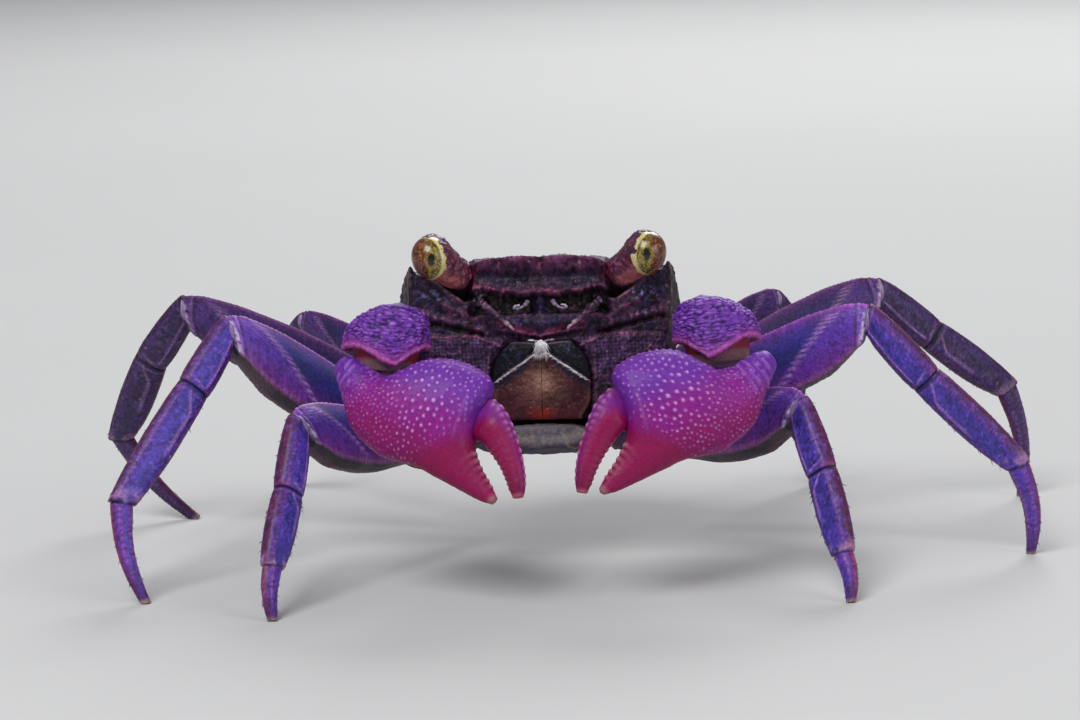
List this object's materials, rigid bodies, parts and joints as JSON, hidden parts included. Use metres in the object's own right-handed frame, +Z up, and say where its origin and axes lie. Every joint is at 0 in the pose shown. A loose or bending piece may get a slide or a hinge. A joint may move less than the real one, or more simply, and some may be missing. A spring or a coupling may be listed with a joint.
{
  "type": "land crab",
  "caption": "Life-size still model of a purple vampire crab standing with raised eyes, folded granular claws and arched walking legs.",
  "frame": {"origin": "on the floor, at the middle of the crab's footprint box", "axes": "+Z up, -Y the way the crab faces, +X towards its own left claw (the right of a front view)"},
  "size_m": [0.0534, 0.0332, 0.0183],
  "materials": {
    "shell": "dark maroon-purple shell, finely rugose, soft gloss",
    "leg": "blue-violet leg shell with magenta edges, soft gloss",
    "leg_rear": "darker grey-violet leg shell, soft gloss",
    "claw": "violet to magenta claw shell covered in pale granules",
    "claw_wrist": "violet wrinkled shell, soft gloss",
    "finger": "crimson smooth claw finger, soft gloss",
    "mouth": "navy-black mouth flaps with a pale hairy ridge",
    "belly": "grey-violet breastplate, satin",
    "stalk": "crimson to salmon eyestalk, satin",
    "cornea": "olive-gold faceted cornea with a dark centre, glossy",
    "antenna": "pale pinkish feeler, satin"
  },
  "bodies": {
    "root": {"carapace": "shell", "sternum": "belly", "abdomen": "belly", "maxilliped_left": "mouth", "eyestalk_left": "stalk", "eye_left": "cornea", "antenna_left": "antenna", "claw_left_merus": "claw_wrist", "claw_left_carpus": "claw_wrist", "claw_left_palm": "claw", "claw_left_finger": "finger", "leg_left_1_hip": "leg", "leg_left_1_merus": "leg", "leg_left_1_carpus": "leg", "leg_left_1_propodus": "leg", "leg_left_1_dactylus": "leg", "leg_left_2_hip": "leg", "leg_left_2_merus": "leg", "leg_left_2_carpus": "leg", "leg_left_2_propodus": "leg", "leg_left_2_dactylus": "leg", "leg_left_3_hip": "leg_rear", "leg_left_3_merus": "leg_rear", "leg_left_3_carpus": "leg_rear", "leg_left_3_propodus": "leg_rear", "leg_left_3_dactylus": "leg_rear", "leg_left_4_hip": "leg_rear", "leg_left_4_merus": "leg_rear", "leg_left_4_carpus": "leg_rear", "leg_left_4_propodus": "leg_rear", "leg_left_4_dactylus": "leg_rear", "maxilliped_right": "mouth", "eyestalk_right": "stalk", "eye_right": "cornea", "antenna_right": "antenna", "claw_right_merus": "claw_wrist", "claw_right_carpus": "claw_wrist", "claw_right_palm": "claw", "claw_right_finger": "finger", "leg_right_1_hip": "leg", "leg_right_1_merus": "leg", "leg_right_1_carpus": "leg", "leg_right_1_propodus": "leg", "leg_right_1_dactylus": "leg", "leg_right_2_hip": "leg", "leg_right_2_merus": "leg", "leg_right_2_carpus": "leg", "leg_right_2_propodus": "leg", "leg_right_2_dactylus": "leg", "leg_right_3_hip": "leg_rear", "leg_right_3_merus": "leg_rear", "leg_right_3_carpus": "leg_rear", "leg_right_3_propodus": "leg_rear", "leg_right_3_dactylus": "leg_rear", "leg_right_4_hip": "leg_rear", "leg_right_4_merus": "leg_rear", "leg_right_4_carpus": "leg_rear", "leg_right_4_propodus": "leg_rear", "leg_right_4_dactylus": "leg_rear"}
  },
  "joints": []
}
